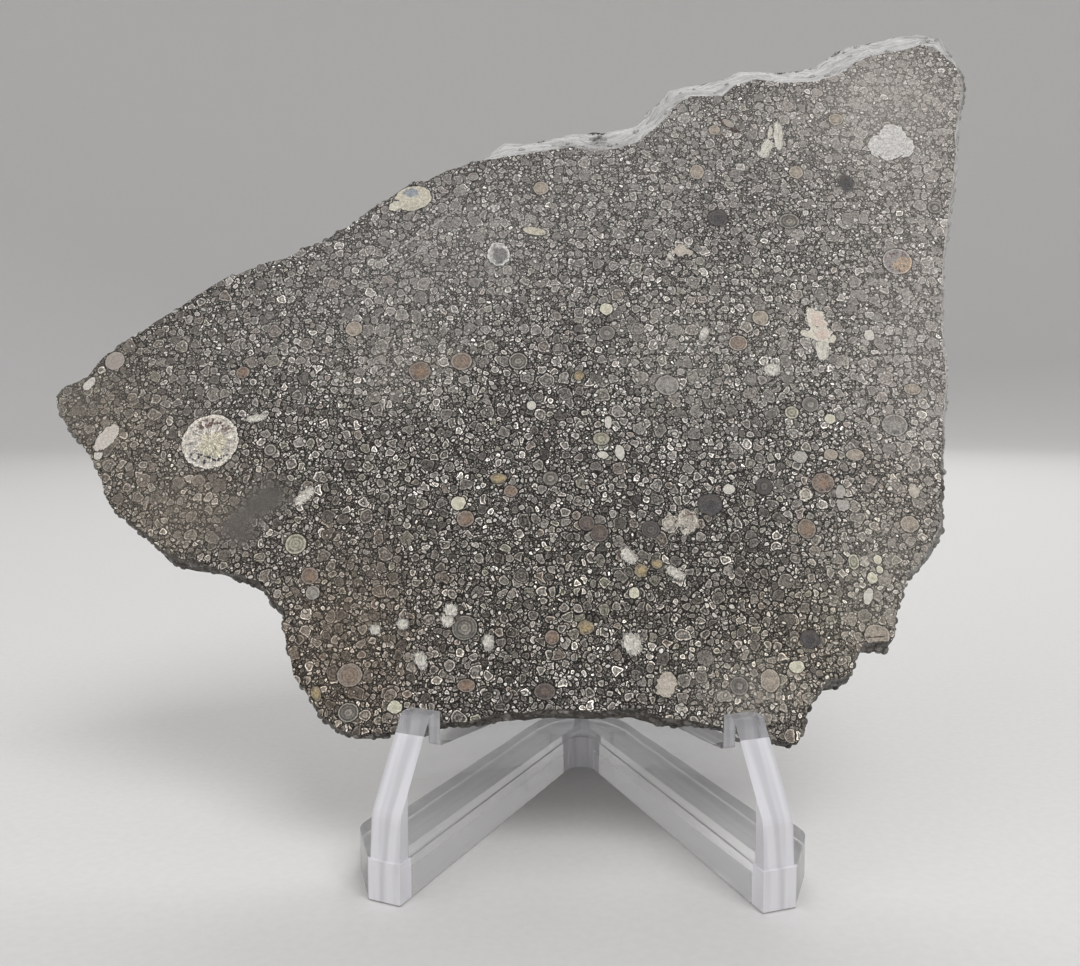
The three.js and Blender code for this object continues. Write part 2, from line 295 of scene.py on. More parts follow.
# The inclusions that stand out on the front face, by kind: x from the middle of the easel, y up the face
# from the lips, half width and half height in mm, and turn in degrees.
inclusions = {
    "sun": [(-49.4, 36, 3.8, 3.9, 0)],
    "pinkWhite": [(-63.5, 36.5, 1.15, 2.25, -33)],
    "white": [
        (-64.2, 34, 0.6, 0.7, -20), (-67.2, 44.5, 0.65, 1.1, -30), (-6.8, 41.3, 0.65, 0.65, 0),
        (3.4, 38.9, 0.5, 0.9, 0), (4.9, 34.6, 0.6, 1.1, 10), (2.7, 34.2, 0.8, 0.5, -10),
        (18.8, 29.5, 0.8, 0.7, 0), (38.6, 51.8, 0.7, 0.8, 0), (35.2, 15.5, 0.55, 1.15, -15),
    ],
    "pinkGrey": [(-64.2, 48, 1.35, 1.4, 0), (21.3, 87.1, 1.05, 0.55, -40)],
    "creamSpotted": [(-24.6, 74.3, 2.7, 2.1, 12)],
    "fleshCream": [
        (-27, 73, 1.1, 0.8, 30), (30.5, 52, 1.2, 0.6, -14), (33.3, 51.2, 0.95, 0.8, 30),
        (30.95, 55.5, 0.5, 0.8, 20),
    ],
    "greyCrown": [(-11.9, 64.8, 1.6, 1.95, 10)],
    "lobe": [
        (44.95, 84.3, 1.95, 2.4, 0), (42.8, 82.7, 1.5, 2.05, 0), (46, 82.8, 1.85, 2.1, 12),
        (44.1, 82.1, 1.9, 1.8, 0),
    ],
    "flesh": [(31.75, 54, 1.3, 2.1, 14), (32.1, 52, 1.6, 1.25, 0)],
    "fibrous": [
        (32.2, 49.9, 0.95, 2, -3), (28.45, 84.8, 0.7, 2.75, 0), (26.7, 82.8, 0.8, 1.8, -24),
        (27.3, 85.2, 0.35, 1.7, -10),
    ],
    "torn": [
        (26.1, 81.6, 1, 0.75, -20), (-36, 28.3, 1.7, 0.8, 48), (-43.6, 39.4, 1.45, 0.6, 12),
        (5.9, 20.5, 1.25, 0.9, -40), (11.7, 18.3, 1.35, 0.7, -30), (6.2, 9.3, 1.15, 1.55, 10),
        (-16.2, 13.3, 0.85, 0.95, 0), (-16.6, 12.1, 0.8, 1, 0), (-22.1, 11.5, 0.75, 0.75, 0),
        (-11.4, 9.3, 0.7, 1.15, 0), (-19.6, 7, 0.7, 1.35, 20), (-25.5, 10.8, 0.7, 0.7, 0),
        (12.4, 64.3, 0.75, 0.6, -20), (16.5, 52.1, 0.6, 1.25, -25), (25.3, 46.6, 1.15, 1, 0),
    ],
    "lilacRing": [(43.5, 63.3, 2, 2.05, 0)],
    "ring": [
        (-41.2, 34.8, 0.8, 0.8, 0), (3.3, 52.2, 1.1, 1.1, 0), (18.9, 4.3, 1.1, 1.1, 0),
        (49.6, 72.1, 1, 1, 0), (30, 41.5, 1.1, 1.1, 0),
    ],
    "rust": [
        (-46.2, 46.2, 0.9, 0.9, 0), (-34.3, 17.6, 1.1, 1.1, 0), (-22, 46.4, 1.45, 1.45, 0),
        (-9.2, 29.1, 0.9, 0.8, 0), (-14.9, 25.3, 1.1, 1.1, 0), (-13.9, 4, 1.1, 0.8, 0),
        (-3.6, 10, 0.9, 0.9, 0), (30.8, 30.4, 1.45, 1.35, 0), (28.3, 24.2, 1.15, 1.3, 0),
    ],
    "olive": [
        (-36.5, 21.8, 1.35, 1.35, 0), (2.5, 36.5, 1.1, 0.9, 0), (27.5, 40.3, 0.9, 0.9, 0),
        (33.8, 19.9, 0.65, 1, 0),
    ],
    "grey": [
        (-33.7, 15.4, 0.9, 0.9, 0), (-16, 78, 0.8, 0.7, 0), (11.3, 44.3, 1.55, 1.45, 0),
        (40.7, 38.5, 1.65, 1.55, 0),
    ],
    "lens": [(-6.9, 68.6, 1.75, 0.65, -12)],
    "tan": [
        (-6.1, 75.9, 1.1, 1.15, 0), (-31.5, 52.9, 1.15, 1.15, 0), (16.4, 78.5, 1, 1.25, 0),
        (19.2, 85.9, 0.85, 0.85, 0), (37, 87.6, 1.05, 1, 0), (30.6, 78.3, 1, 1.1, 0),
        (24.2, 54.5, 1.1, 1.1, 0), (43.5, 43.7, 1.1, 0.8, 0), (35.2, 34.3, 1.15, 0.8, 0),
        (32.1, 34.3, 0.9, 0.8, 0), (41.2, 24.9, 1.15, 1.1, 0), (35.8, 10.6, 1.55, 1.35, 0),
        (22.6, 5, 1.15, 1.4, 0),
    ],
    "rustRing": [(-16.4, 47.9, 1.45, 1.35, 0), (-28.2, 5.1, 1.55, 1.45, 0), (21, 50.6, 1.25, 1.15, 0)],
    "target": [
        (-8.7, 47.9, 1.25, 1.25, 0), (-4.1, 30.9, 1, 1, 0), (-14.4, 11.1, 1.55, 1.55, 0),
        (-28, 0.6, 1.25, 1.15, 0), (29.1, 70, 1.45, 1.25, 0),
    ],
    "cream": [
        (3.2, 55.9, 0.9, 0.9, 45), (-15.9, 27.4, 0.95, 0.95, 0), (6.5, 15.7, 0.7, 0.7, 0),
        (25.9, 6.7, 0.9, 0.8, 0), (-22.4, 1.3, 0.9, 0.8, 0), (32.4, 39.4, 0.7, 0.7, 0),
        (36.8, 20.2, 0.5, 0.6, 0), (36.9, 18.9, 0.45, 0.5, 0), (35.9, 17.8, 0.65, 0.75, 0),
    ],
    "amber": [
        (-0.5, 45.7, 0.7, 0.7, 0), (-10.8, 30.9, 1.15, 0.7, 10), (-32.1, 2.8, 0.6, 0.9, 20),
        (0.5, 11.3, 1, 0.9, 0), (7.4, 18.6, 0.85, 0.9, 10), (9.4, 19.5, 0.75, 0.6, 0),
    ],
    "crackedPale": [
        (13.4, 25.1, 1.35, 1.7, 0), (11.2, 24.8, 1.05, 1.35, 10), (28.5, 28.8, 0.85, 0.95, 0),
    ],
    "darkRing": [(8.7, 24, 1.15, 1.1, 0), (23.3, 29.9, 1, 1.15, 0)],
    "rustDark": [(0.6, 24.8, 1, 1, 0), (2.2, 23.5, 1.15, 1.15, 0), (-4.4, 3.4, 1.3, 1, 0)],
    "dark": [
        (16.3, 27.4, 1.55, 1.45, 0), (27.7, 10.1, 1.15, 1.1, 0), (19.1, 70.6, 1.45, 1.35, 0),
        (37.6, 76.4, 1, 1.45, 10),
    ],
    "tanPiece": [
        (13.8, 65.3, 1, 1, 15), (12.9, 65, 0.7, 0.6, 30), (14.6, 64.9, 0.8, 0.6, 0),
        (10.2, 4.3, 1.2, 1.6, -20), (42.2, 29.3, 0.7, 1, 15),
    ],
    "greyPiece": [(32.9, 29.2, 0.6, 1, -12), (33.1, 27.5, 0.85, 0.9, 0), (28.2, 34, 0.95, 0.85, 0)],
}
frontGrains = [(kind, *grain) for kind, group in inclusions.items() for grain in group]

# The other grains of the back face, drawn at random.
backGrains = {
    "seed": 11,
    "count": 60,
    "halfWidth": (0.8, 1.6),
    "flatness": (0.7, 1),  # half height in half widths
    "across": (-66, 50),
    "up": (0, 98),
    "through": 1.45,  # front grains of more than this half size go right through to the back
    "kinds": ["grey", "ring", "tan", "cream", "rust", "target", "olive", "torn", "dark"],
}

# Where the core lies off the grain's middle, in shares of its half size, and the kinds with long fibres.
coreShifts = {
    "sun": (0.11, -0.16),
    "lilacRing": (0.42, -0.28),
    "creamSpotted": (-0.05, 0.48),
    "plain": (0.1, -0.08),  # every other kind
}
lengthwiseKinds = ("fibrous", "torn", "lens")

# How each kind looks: its body's and core's colours, the core's share of the radius, how much brighter
# the rim is and its width in mm, how torn the outline, dark specks, and streaks (rings where below zero).
kinds = {
    "sun": ((196, 190, 181), (196, 190, 170), 0.5, 1.28, 0.45, 0.05, 1.0, 1.0),
    "pinkWhite": ((202, 195, 186), (202, 195, 186), 0.0, 1.0, 0.1, 0.16, 0.1, 0.1),
    "tanPiece": ((188, 179, 167), (188, 179, 167), 0.0, 1.0, 0.1, 0.3, 0.3, 0.1),
    "pinkGrey": ((162, 154, 146), (162, 154, 146), 0.0, 1.15, 0.2, 0.04, 0.0, 0.05),
    "white": ((204, 200, 191), (204, 200, 191), 0.0, 1.15, 0.1, 0.2, 0.1, 0.2),
    "creamSpotted": ((198, 192, 176), (152, 156, 162), 0.36, 1.05, 0.3, 0.07, 0.25, 0.3),
    "greyCrown": ((186, 184, 180), (128, 126, 124), 0.62, 1.35, 0.4, 0.16, 0.5, 0.3),
    "lobe": ((205, 202, 198), (197, 194, 191), 0.5, 1.05, 0.3, 0.13, 0.35, 0.1),
    "flesh": ((212, 206, 193), (206, 190, 178), 0.62, 1.0, 0.1, 0.34, 0.15, 0.2),
    "fleshCream": ((208, 203, 188), (208, 203, 188), 0.0, 1.0, 0.1, 0.22, 0.1, 0.3),
    "fibrous": ((210, 206, 195), (206, 202, 190), 0.5, 1.0, 0.1, 0.34, 0.1, 0.2),
    "torn": ((209, 205, 196), (209, 205, 196), 0.0, 1.0, 0.1, 0.55, 0.5, 0.3),
    "cream": ((206, 202, 184), (192, 187, 167), 0.4, 1.15, 0.2, 0.16, 0.15, 0.4),
    "lilacRing": ((148, 142, 139), (172, 153, 134), 0.7, 1.7, 0.22, 0.03, 0.8, 0.4),
    "rust": ((130, 118, 108), (138, 118, 102), 0.5, 1.5, 0.2, 0.08, 0.7, 0.6),
    "rustRing": ((132, 122, 113), (138, 122, 109), 0.6, 1.8, 0.22, 0.05, 0.4, -0.3),
    "rustDark": ((96, 88, 83), (108, 96, 89), 0.4, 1.5, 0.22, 0.06, 0.6, 0.6),
    "amber": ((150, 139, 116), (166, 148, 112), 0.5, 0.9, 0.1, 0.25, 0.7, 0.6),
    "olive": ((152, 149, 134), (156, 153, 137), 0.6, 1.6, 0.2, 0.05, 0.5, -0.5),
    "tan": ((158, 149, 137), (166, 155, 141), 0.5, 1.4, 0.2, 0.07, 0.4, 0.5),
    "grey": ((142, 138, 132), (148, 144, 138), 0.5, 1.5, 0.2, 0.06, 0.5, 0.6),
    "ring": ((108, 104, 99), (146, 142, 135), 0.35, 2.3, 0.26, 0.04, 0.2, -0.4),
    "target": ((106, 103, 97), (136, 132, 123), 0.45, 2.1, 0.22, 0.04, 0.5, -0.6),
    "darkRing": ((80, 77, 75), (98, 94, 90), 0.4, 1.8, 0.22, 0.04, 0.2, -0.5),
    "crackedPale": ((182, 176, 165), (170, 164, 153), 0.6, 1.2, 0.3, 0.26, 0.9, -0.45),
    "greyPiece": ((174, 170, 163), (174, 170, 163), 0.0, 1.1, 0.15, 0.22, 0.3, 0.2),
    "dark": ((84, 81, 80), (76, 73, 73), 0.5, 1.15, 0.25, 0.12, 0.4, -0.3),
    "lens": ((200, 193, 177), (200, 193, 177), 0.0, 1.0, 0.12, 0.12, 0.1, 0.1),
}

# Films that veil the face, partly real pale films and partly painted sheen and painted light that is
# brighter on the top and the right; and stains that only tint it: x, y, reach across, reach up, turn in
# degrees, strength and colour.
sheenAndFilmPatches = [
    (45.6, 92, 19.6, 15.6, 0, 0.62, (176, 170, 163)),
    (46.6, 51.8, 12.7, 35.2, 0, 0.46, (182, 176, 169)),
    (5.5, 79.2, 33.3, 17.6, 0, 0.34, (160, 156, 152)),
    (-16, 63, 17, 13, 0, 0.26, (172, 168, 164)),
    (-35.6, 59.7, 25.4, 11.7, 35, 0.26, (152, 148, 144)),
    (-62, 38.1, 15.6, 19.6, 0, 0.34, (126, 119, 110)),
    (-68, 42.5, 5.5, 7, 0, 0.5, (112, 107, 99)),
    (-51, 26, 9, 7, 20, 0.5, (128, 120, 109)),
    (-30, 12, 10, 14, 0, 0.34, (122, 111, 98)),
    (35, 12, 8, 13, 0, 0.38, (150, 144, 132)),
    (20, 3.5, 7, 5, 0, 0.48, (162, 156, 146)),
    (-25.5, 45.5, 9, 6, 0, 0.24, (176, 170, 160)),
    (11.5, 49, 8, 9, 0, 0.2, (176, 171, 162)),
    (25.5, 51, 14, 15, 0, 0.22, (178, 173, 165)),
    (-22, 50, 6, 6, 0, 0.18, (176, 171, 162)),
    (38, 21, 6, 6, 0, 0.22, (176, 171, 162)),
    (13, 89, 10, 6, 0, 0.22, (182, 178, 172)),
    (11.5, 21, 9, 6, 0, 0.24, (60, 57, 53)),
    (-41.1, 27.7, 3.4, 2.5, 25, 1.25, (89, 87, 83)),
    (-44.3, 25, 3.9, 1.6, 35, 1.05, (91, 87, 82)),
    (-43.7, 22.9, 2.2, 1.6, 0, 1.0, (91, 87, 82)),
]
stains = [
    (-29.7, 6, 10.8, 12, 0, 0.8, (255, 243, 229)),
    (27, 8.8, 11.7, 10.8, 0, 0.7, (255, 246, 230)),
    (-64, 38, 9, 9, 0, 0.9, (250, 243, 230)),
    (-52, 26, 12, 8, 20, 0.8, (252, 244, 233)),
    (40.7, 28.3, 7.8, 9.8, 0, 0.7, (255, 248, 236)),
    (-0.4, 14.6, 23.5, 11.7, 0, 0.7, (246, 243, 237)),
]

# Fine lines on the front face, from place to place: width in mm and colour.
fineLines = [
    ((-18.1, 72.4), (-29.7, 62.8), 0.13, (186, 184, 180)),
    ((-18.3, 69.0), (-31.4, 59.0), 0.1, (178, 176, 172)),
    ((-35.2, 9.8), (-33.3, 3.2), 0.2, (34, 31, 29)),
    ((-36.2, 12.4), (-35.2, 9.8), 0.16, (40, 37, 34)),
    ((33.9, 10.3), (37.0, 10.5), 0.14, (34, 31, 29)),
    ((19.9, 88.2), (20.9, 86.3), 0.3, (82, 66, 58)),
    ((20.9, 86.3), (22.6, 85.5), 0.34, (74, 59, 52)),
    ((22.8, 85.9), (23.1, 87.2), 0.22, (88, 74, 66)),
    ((20.2, 85.1), (21.0, 83.9), 0.26, (86, 72, 64)),
]


def rimMesh():
    # The solid's rim alone, cut finer and roughened; its two open borders carry the sawn faces.
    bm = bmesh.new()
    bm.from_mesh(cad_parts["meteorite_slab"].data)
    bm.transform(slabFromRow)
    bmesh.ops.remove_doubles(bm, verts=bm.verts, dist=0.001)
    flat = 0.02
    back = -slab["thickness"]
    caps = [
        face for face in bm.faces
        if any(all(abs(v.co.z - depth) < flat for v in face.verts) for depth in (0, back))
    ]
    bmesh.ops.delete(bm, geom=caps, context="FACES")
    bmesh.ops.subdivide_edges(bm, edges=bm.edges, cuts=slab["edgeCuts"], use_grid_fill=True)
    bm.normal_update()
    broadWaves, fineWaves = slab["edgeWaves"]
    for v in bm.verts:
        spot = v.co.copy()
        outward = Vector((v.normal.x, v.normal.y, 0)).normalized()
        if v.is_boundary:
            wave = noise.fractal(Vector((spot.x, spot.y, 7.0)) * slab["outlineWaves"], 0.8, 2.0, 3)
            v.co = spot + outward * wave * slab["outlineRoughness"]
        else:
            broad = noise.fractal(spot * broadWaves, 1.0, 2.0, 3)
            fine = noise.noise(spot * fineWaves + Vector((31, 5, 9)))
            v.co = spot + v.normal * (broad + 0.5 * fine) * slab["edgeRoughness"]
    return bm


def borderLoop(bm, depth):
    # The open border at that depth, as vertices in order, anticlockwise seen from the front.
    rim = {v for v in bm.verts if v.is_boundary and abs(v.co.z - depth) < 0.1}
    start = min(rim, key=lambda v: (v.co.x, v.co.y))
    loop, last = [start], None
    while True:
        here = loop[-1]
        ways = [e.other_vert(here) for e in here.link_edges if e.is_boundary]
        onward = [v for v in ways if v is not last]
        last = here
        if onward[0] is start:
            break
        loop.append(onward[0])
    area = sum(a.co.x * b.co.y - b.co.x * a.co.y for a, b in zip(loop, loop[1:] + loop[:1]))
    return loop if area > 0 else loop[::-1]


def facePoints(outline, seed):
    # A jittered triangular grid of points inside the outline.
    random = np.random.default_rng(seed)
    step = slab["faceGrid"]
    low, high = outline.min(0), outline.max(0)
    rows = np.arange(low[1], high[1], step * math.sqrt(3) / 2)
    spots = [
        (x + step / 2 * (row % 2), y)
        for row, y in enumerate(rows) for x in np.arange(low[0], high[0], step)
    ]
    jitter = slab["jitter"]
    spots = np.array(spots) + random.uniform(-jitter, jitter, (len(spots), 2)) * step
    following = np.roll(outline, -1, 0)
    inside = np.zeros(len(spots), bool)
    near = np.full(len(spots), np.inf)
    for (ax, ay), (bx, by) in zip(outline, following):
        crosses = (ay > spots[:, 1]) != (by > spots[:, 1])
        if ay != by:
            inside ^= crosses & (spots[:, 0] < (bx - ax) * (spots[:, 1] - ay) / (by - ay) + ax)
        near = np.minimum(near, np.hypot(spots[:, 0] - ax, spots[:, 1] - ay))
    return spots[inside & (near > slab["borderGap"] * step)]


def fillFace(loop, seed, facesFront):
    # Triangles between the border and the inner points. Returns the new points, the triangles and the
    # border's length; corners below that length are the border's points, the others the new points in
    # order.
    outline = np.array([v.co.xy for v in loop])
    inner = facePoints(outline, seed)
    count = len(outline)
    given = [Vector(p) for p in np.vstack([outline, inner])]
    points, _, faces, origins, _, _ = delaunay_2d_cdt(given, [], [list(range(count))], 1, 1e-5)
    key = [min(origin) if origin else -1 for origin in origins]
    triangles = [[key[i] for i in face] for face in faces]
    if not facesFront:
        triangles = [face[::-1] for face in triangles]
    return inner, triangles, count


def buildSlice():
    bm = rimMesh()
    bm.verts.index_update()
    points = [v.co.copy() for v in bm.verts]
    faces = [[v.index for v in face.verts] for face in bm.faces]
    sides = [0] * len(faces)  # 0 natural edge, 1 front, 2 back
    for side, depth in ((1, 0.0), (2, -slab["thickness"])):
        loop = borderLoop(bm, depth)
        inner, triangles, count = fillFace(loop, slab["faceSeed"] + side, side == 1)
        base = len(points)
        points += [Vector((x, y, depth)) for x, y in inner]
        for triangle in triangles:
            faces.append([loop[i].index if i < count else base + i - count for i in triangle])
            sides.append(side)
    bm.free()
    data = bpy.data.meshes.new("slice")
    data.from_pydata([tuple(p) for p in points], [], faces)
    places = np.array([tuple(p) for p in points])
    markEdge(data, places)
    markFaces(data, places, np.array(sides))
    low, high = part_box("meteorite_slab")
    for v in data.vertices:  # nothing stands out of the solid's box
        at = rowFromSlab @ v.co
        v.co = [min(max(at[k], low[k]), high[k]) for k in range(3)]
    return data


def mark(data, name, domain, values):
    # An attribute: one value, a vector or a colour for each point or corner.
    sorts = {1: ("FLOAT", "value"), 3: ("FLOAT_VECTOR", "vector"), 4: ("FLOAT_COLOR", "color")}
    kind, key = sorts[values[0].size]
    data.attributes.new(name, kind, domain).data.foreach_set(key, values.ravel())


# Where pale crust covers the natural edge, with a painted edge highlight at (44, 22): x, y, reach across,
# reach up, paleness.
paleCrustAndHighlight = [
    (20.2, 94.9, 36, 16, 1.0), (-9.5, 83.5, 6.5, 5, 1.0), (47, 101, 12, 9, 0.95),
    # the entry at (44, 22) is no crust but a painted highlight along the lower right edge
    (53.5, 59.7, 9, 48, 0.8), (44, 22, 8, 10, 0.5), (-70.9, 42, 5, 9, 0.5), (34.8, 8.8, 12, 14, 0.35),
]
# Where it is chipped off again: x, y, reach, loss of crust.
bareEdges = [(2.7, 84.8, 1.9, 0.28), (1.9, 86.6, 0.9, 0.8), (34, 97.5, 1.5, 0.3)]


def markEdge(data, places):
    # Each point's place on the slice in mm, for the natural edge's patterns, and how pale it is there.
    mark(data, "slicePlace", "POINT", places)
    pale = np.full(len(places), slab["bareEdge"])
    for x, y, reachX, reachY, amount in paleCrustAndHighlight:
        far = ((places[:, 0] - x) / reachX) ** 2 + ((places[:, 1] - y) / reachY) ** 2
        pale = np.maximum(pale, amount * np.exp(-(far ** 3)))
    for x, y, reach, amount in bareEdges:
        far = ((places[:, 0] - x) ** 2 + (places[:, 1] - y) ** 2) / reach ** 2
        pale *= 1 - amount * np.exp(-far)
    mark(data, "paleness", "POINT", pale)


def turned(x, y, degrees):
    angle = math.radians(degrees)
    return x * math.cos(angle) + y * math.sin(angle), y * math.cos(angle) - x * math.sin(angle)


def backInclusions():
    # The biggest grains go right through, so they show mirrored; the others on the back are its own.
    look = backGrains
    placed = [
        (kind, x + 0.6, y, wide * 0.8, high * 0.8, turn)
        for kind, x, y, wide, high, turn in frontGrains if min(wide, high) > look["through"]
    ]
    random = np.random.default_rng(look["seed"])
    for _ in range(look["count"]):
        wide = random.uniform(*look["halfWidth"])
        kind = look["kinds"][random.integers(len(look["kinds"]))]
        x = random.uniform(*look["across"])
        y = random.uniform(*look["up"])
        high = wide * random.uniform(*look["flatness"])
        placed.append((kind, x, y, wide, high, random.uniform(0, 90)))
    return placed


def softPatches(places, patches):
    # Joint strength and mean colour of overlapping soft patches.
    clear = np.ones(len(places))
    total = np.full(len(places), 1e-6)
    colour = np.zeros((len(places), 3))
    for x, y, reachX, reachY, turn, strength, tone in patches:
        along, over = turned(places[:, 0] - x, places[:, 1] - y, turn)
        far = (along / reachX) ** 2 + (over / reachY) ** 2
        weight = np.minimum(strength * np.exp(-far), 0.98)
        clear *= 1 - weight
        total += weight
        colour += weight[:, None] * np.array(paint(*tone)[:3])
    return 1 - clear, colour / total[:, None]


def markFaces(data, places, sides):
    # Map in mm, soft patches, and for each triangle the nearest inclusion, in that one's own measure.
    corner = np.zeros(len(data.loops), int)
    data.loops.foreach_get("vertex_index", corner)
    triangle = corner.reshape(-1, 3)
    spots = places[corner][:, :2]
    side = np.repeat(sides, 3)
    plane = spots.copy()
    plane[side == 2] = plane[side == 2] * (-1, 1) + (slab["backShift"], 0)
    data.uv_layers.new(name="sawnPlane").data.foreach_set("uv", plane.ravel())

    # the film patches hold painted sheen and painted light as well as pale films
    for name, patches in (("filmAndSheen", sheenAndFilmPatches), ("stain", stains)):
        share, tone = softPatches(places, patches)
        mark(data, name, "POINT", np.hstack([tone, share[:, None]]))

    local = np.tile((9.0, 9.0, 1.0), (len(corner), 1))  # far outside any grain
    body, core, make = (np.zeros((len(corner), 4)) for _ in range(3))
    shift = np.zeros((len(corner), 3))
    for which, placed in ((1, frontGrains), (2, backInclusions())):
        own = np.flatnonzero(sides == which)
        corners = places[triangle[own]][:, :, :2]
        probes = np.concatenate([corners, corners.mean(1, keepdims=True)], 1)
        nearest = np.full(len(own), np.inf)
        for kind, x, y, halfWide, halfHigh, turn in placed:
            size = math.sqrt(halfWide * halfHigh)
            u, v = turned(probes[..., 0] - x, probes[..., 1] - y, turn)
            gap = ((np.hypot(u / halfWide, v / halfHigh) - 1) * size).min(1)
            closer = np.flatnonzero((gap < nearest) & (gap < slab["grainReach"]))
            nearest[closer] = gap[closer]
            u, v = turned(corners[closer, :, 0] - x, corners[closer, :, 1] - y, turn)
            rows = (own[closer][:, None] * 3 + np.arange(3)).ravel()
            measure = np.full(u.size, size)
            local[rows] = np.stack([u.ravel() / halfWide, v.ravel() / halfHigh, measure], 1)
            bodyTone, coreTone, coreShare, rimGain, rimWidth, ragged, specks, streaks = kinds[kind]
            body[rows] = paint(*bodyTone, ragged)
            core[rows] = paint(*coreTone, coreShare)
            make[rows] = (rimGain, rimWidth, specks, streaks)
            shift[rows] = (*coreShifts.get(kind, coreShifts["plain"]), kind in lengthwiseKinds)
    marks = {"Place": local, "Body": body, "Core": core, "Make": make, "Shift": shift}
    for name, values in marks.items():
        mark(data, "grain" + name, "CORNER", values)
    data.materials.append(naturalEdge())
    data.materials.append(sawnFace())
    data.polygons.foreach_set("material_index", (sides > 0).astype(int))
    data.polygons.foreach_set("use_smooth", sides == 0)


# Sawn face: packed round grains of several sizes in a dark fine matrix, one layer over the other

sawn = {
    "drift": 0.5,  # mm, how far the small grains' outlines wander
    "scatter": 0.85,  # how far their middles lie off a regular grid
    "gapTone": (20, 17, 14),  # round the small grains
    "placedGapTone": (30, 27, 24),  # round the inclusions
    "rings": 15.0,  # radians of the rings' wave for each mm
    "fleckTones": ((58, 57, 68), (100, 80, 71)),  # at the foot and the head of an inclusion
    "gloss": 0.2,
    "relief": 0.00003,  # metres that the grains stand out
}
matrixTones = tones(
    (0.36, 38, 35, 31), (0.46, 70, 66, 61),
    (0.56, 110, 106, 100), (0.66, 178, 174, 168),
)
smallTones = tones(
    (0.0, 80, 76, 72), (0.14, 106, 102, 98), (0.32, 127, 123, 119),
    (0.52, 146, 142, 137), (0.72, 168, 164, 159), (0.9, 200, 197, 192),
)
middleTones = tones(
    (0.0, 76, 73, 69), (0.12, 96, 92, 88), (0.30, 112, 109, 104),
    (0.50, 124, 120, 116), (0.64, 116, 109, 103), (0.71, 138, 134, 129),
    (0.83, 118, 116, 107), (0.88, 163, 159, 153), (0.96, 66, 63, 60),
)
largeTones = tones(
    (0.0, 82, 78, 74), (0.2, 100, 96, 92), (0.5, 114, 110, 105),
    (0.7, 110, 103, 97), (0.8, 126, 122, 117), (0.9, 114, 111, 103),
)
speckTones = tones((0.0, 188, 185, 180), (0.4, 212, 209, 204), (0.8, 234, 231, 226))
# The layers from the lowest up: cell size in mm, least and most radius in cells, share of cells filled,
# the rim's brightness and its width in mm, the dark gap in mm, how strongly the fine grit and the rings
# inside show, and what sets the layer's pattern apart from the others'.
layerValues = ("cell", "radii", "share", "rim", "gap", "grit", "rings", "tones", "shift")
grainLayers = [dict(zip(layerValues, row)) for row in (
    (0.42, (0.24, 0.52), 0.92, (1.6, 0.09), 0.08, 0.8, 0.0, smallTones, (3.1, 8.7, 0)),
    (0.66, (0.22, 0.50), 0.80, (2.4, 0.13), 0.10, 1.1, 0.0, smallTones, (17.3, 2.9, 0)),
    (1.02, (0.22, 0.50), 0.66, (2.8, 0.15), 0.12, 1.2, 0.0, middleTones, (61.3, 22.9, 0)),
    (1.55, (0.24, 0.50), 0.56, (2.8, 0.17), 0.13, 1.3, 0.5, middleTones, (5.9, 31.3, 0)),
    (2.50, (0.18, 0.42), 0.42, (2.5, 0.17), 0.14, 1.4, 0.5, largeTones, (41.7, 13.1, 0)),
    (1.10, (0.10, 0.24), 0.36, (1.0, 0.05), 0.12, 0.4, 0.0, speckTones, (23.9, 57.3, 0)),
)]


def grainLayer(tree, place, grit, under, look):
    cell = look["cell"]
    at = vector(tree, "MULTIPLY_ADD", place, (1 / cell,) * 3, look["shift"])
    middle = cells(tree, at, randomness=sawn["scatter"])
    border = cells(tree, at, "DISTANCE_TO_EDGE", randomness=sawn["scatter"])
    chance = parts(tree, middle.outputs["Color"], "Color")
    least, most = look["radii"]
    radius = times(tree, chance[0], most - least, plus=least)
    reach = minus(tree, radius, middle.outputs["Distance"])
    space = minus(tree, border.outputs["Distance"], look["gap"] / cell)
    depth = times(tree, number(tree, "SMOOTH_MIN", reach, space, 0.12), cell)
    filled = number(tree, "LESS_THAN", chance[1], look["share"])
    halo = smooth(tree, depth, -look["gap"] * 1.35, -look["gap"] * 0.65, 0.0, 0.95)
    halo = times(tree, halo, filled)
    inside = times(tree, smooth(tree, depth, 0.0, 0.04), filled)
    tone = ramp(tree, chance[2], look["tones"], "CONSTANT")
    strength, width = look["rim"]
    vivid = number(tree, "FRACT", times(tree, chance[0], 5.0))  # some rims are far brighter than others
    lift = times(tree, vivid, (strength - 1) * 1.1, plus=1.0 + (strength - 1) * 0.3)
    inRim = smooth(tree, depth, width * 0.6, width, 1.0, 0.0)
    light = times(tree, minus(tree, lift, 1.0), inRim, plus=1.0)
    if look["rings"]:
        wave = number(tree, "SINE", times(tree, depth, sawn["rings"]))
        drawn = number(tree, "FRACT", times(tree, chance[1], 7.0))
        ringed = times(tree, wave, number(tree, "GREATER_THAN", drawn, 0.6))
        light = times(tree, ringed, look["rings"], plus=light)
    light = times(tree, light, times(tree, grit, look["grit"], plus=1.04))
    shaded = blend(tree, halo, under, paint(*sawn["gapTone"]))
    return blend(tree, inside, shaded, vector(tree, "SCALE", tone, light)), inside


